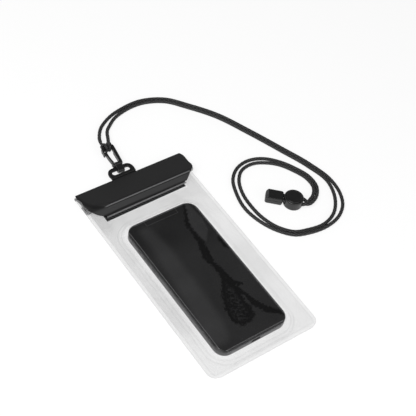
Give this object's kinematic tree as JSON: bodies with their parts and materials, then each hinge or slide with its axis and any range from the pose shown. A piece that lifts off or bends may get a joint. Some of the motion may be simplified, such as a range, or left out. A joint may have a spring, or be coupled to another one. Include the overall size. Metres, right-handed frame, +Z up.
{
  "type": "waterproof phone pouch",
  "caption": "Clear film pouch with a phone sealed in, a folded mouth under a black closing flap, a snap clip on a tab, and a doubled neck cord with a sprung lock and a cord end.",
  "frame": {"origin": "the centre of the pouch's flat underside, on the surface it lies on", "axes": "+X across the pouch, +Y along it from its bottom to its mouth and the lanyard tab, +Z up out of the surface"},
  "size_m": [0.2257, 0.2924, 0.01],
  "materials": {
    "film": "clear, slightly milky soft film, glossy",
    "film_track": "milky soft plastic",
    "coated_fabric": "matt black coated sheet with a fine grain",
    "hook_tape": "black hook tape, ribbed",
    "loop_tape": "dark grey smooth tape",
    "black_rubber": "moulded, satin",
    "black_plastic": "moulded, satin",
    "steel": "bright",
    "braided_cord": "round braid, matt",
    "phone_metal": "dark grey, satin",
    "phone_glass": "dark screen, glossy"
  },
  "bodies": {
    "pouch": {"back_film": "film", "front_film": "film", "mouth_track_ribs": "film_track", "mouth_track_channels": "film_track", "mouth_stiffener": "black_rubber", "closure_flap": "coated_fabric", "hook_strip": "hook_tape", "loop_strip": "loop_tape", "phone_body": "phone_metal", "phone_screen": "phone_glass", "lanyard_tab": "black_rubber", "clip_hook": "black_plastic", "clip_gate_pin": "steel", "cord_hitch": "braided_cord", "cord_left": "braided_cord", "cord_right": "braided_cord", "cord_lock_body": "black_plastic", "cord_lock_spring": "steel", "cord_end_base": "black_plastic", "cord_end_lid": "black_plastic"},
    "gate": {"clip_gate": "black_plastic"},
    "lock_button": {"cord_lock_button": "black_plastic"}
  },
  "joints": [
    {"name": "gate_hinge", "type": "hinge", "parent": "pouch", "child": "gate", "pos_m": [-0.00556, 0.12219, 0.0049], "axis": [0, 0, -1], "range_deg": [0, 18], "stiffness_Nm_per_rad": 0.02, "springref_deg": -14.32},
    {"name": "lock_button_press", "type": "slide", "parent": "pouch", "child": "lock_button", "axis": [0, 0, -1], "range_m": [0, 0.0012], "stiffness_N_per_m": 1500, "springref_m": -0.003, "deforming": ["cord_lock_spring"]}
  ]
}
